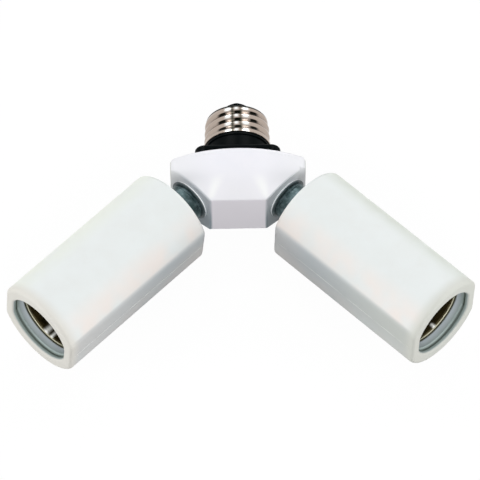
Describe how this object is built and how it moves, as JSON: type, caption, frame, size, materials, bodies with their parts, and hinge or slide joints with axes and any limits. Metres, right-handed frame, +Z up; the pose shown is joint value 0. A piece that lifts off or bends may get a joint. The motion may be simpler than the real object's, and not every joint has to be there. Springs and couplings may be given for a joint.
{
  "type": "lamp socket adapter",
  "caption": "Splitter with a screw base, white hub and twin lamp sockets set at right angles, each turning on a hollow stem.",
  "frame": {"origin": "centre of the black flange's outer face, on the screw axis, where the base starts", "axes": "+Y along the screw axis to the tip contact, +X to the right with both socket axes in the plane z = 0, +Z up as it lies on a table"},
  "size_m": [0.1821, 0.1168, 0.0394],
  "materials": {
    "white_plastic": "smooth semi-gloss moulded plastic",
    "black_plastic": "smooth black moulded plastic",
    "plated_shell": "bright nickel plate on rolled brass sheet",
    "lamp_shell": "bright rolled sheet, passivated",
    "zinc": "dark zinc-plated turned metal, satin",
    "steel": "plain zinc-plated steel",
    "brass": "bright brass",
    "solder": "dull tinned contact button",
    "block": "matt insulating moulding",
    "nylon": "natural nylon",
    "black_wire": "black insulated lead",
    "white_wire": "white insulated lead"
  },
  "bodies": {
    "hub": {"hub_housing": "white_plastic", "hub_cover": "white_plastic", "base_collar": "black_plastic", "base_screw_shell": "plated_shell", "tip_insulator": "black_plastic", "base_contact": "solder", "collar_screws": "steel", "left_thrust_washer": "nylon", "left_disc_spring": "steel", "left_black_lead": "black_wire", "left_white_lead": "white_wire", "right_thrust_washer": "nylon", "right_disc_spring": "steel", "right_black_lead": "black_wire", "right_white_lead": "white_wire"},
    "left_socket": {"left_swivel_stem": "zinc", "left_retaining_ring": "steel", "left_stem_nut": "steel", "left_socket_body": "white_plastic", "left_contact_block": "block", "left_screw_shell": "lamp_shell", "left_contact_leaf": "brass", "left_contact_rivet": "brass", "left_neutral_tag": "brass", "left_shell_screws": "steel"},
    "right_socket": {"right_swivel_stem": "zinc", "right_retaining_ring": "steel", "right_stem_nut": "steel", "right_socket_body": "white_plastic", "right_contact_block": "block", "right_screw_shell": "lamp_shell", "right_contact_leaf": "brass", "right_contact_rivet": "brass", "right_neutral_tag": "brass", "right_shell_screws": "steel"}
  },
  "joints": [
    {"name": "left_swivel", "type": "hinge", "parent": "hub", "child": "left_socket", "pos_m": [-0.01903, -0.01523, 0], "axis": [-0.7071, -0.7071, 0], "range_deg": [-170, 170]},
    {"name": "right_swivel", "type": "hinge", "parent": "hub", "child": "right_socket", "pos_m": [0.01903, -0.01523, 0], "axis": [0.7071, -0.7071, 0], "range_deg": [-170, 170]}
  ]
}
